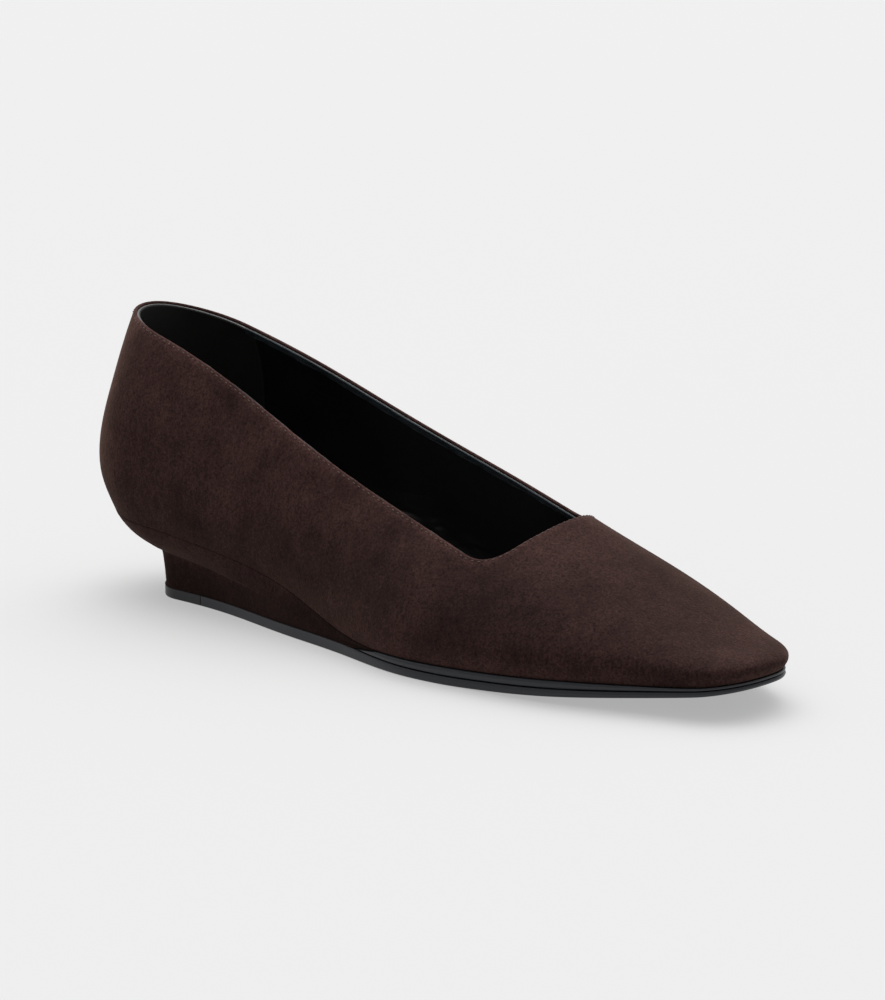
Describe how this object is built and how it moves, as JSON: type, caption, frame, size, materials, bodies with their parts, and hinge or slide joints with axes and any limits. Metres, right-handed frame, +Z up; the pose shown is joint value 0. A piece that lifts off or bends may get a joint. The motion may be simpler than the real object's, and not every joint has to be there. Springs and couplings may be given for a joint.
{
  "type": "wedge pump",
  "caption": "Low wedge pump for the right foot: hollow suede upper with a high vamp and a square throat, hidden wedge and thin sole with toe spring.",
  "frame": {"origin": "On the floor, at the centre of the heel's top piece.", "axes": "+X to the toe along the shoe, +Y to the inner side of the right foot, +Z up."},
  "size_m": [0.2616, 0.0783, 0.0903],
  "materials": {
    "suede": "dark brown suede, matt with a short nap",
    "suede_cover": "dark brown suede over the wedge, matt",
    "sock": "smooth black lining leather, slight sheen",
    "sole_edge": "black, semi-matt, polished edge",
    "sole": "black, semi-matt, fine tread",
    "lift": "black rubber, matt"
  },
  "bodies": {
    "root": {"upper": "suede", "insole": "sock", "wedge": "suede_cover", "midsole": "sole_edge", "outsole": "sole", "top_piece": "lift"}
  },
  "joints": []
}
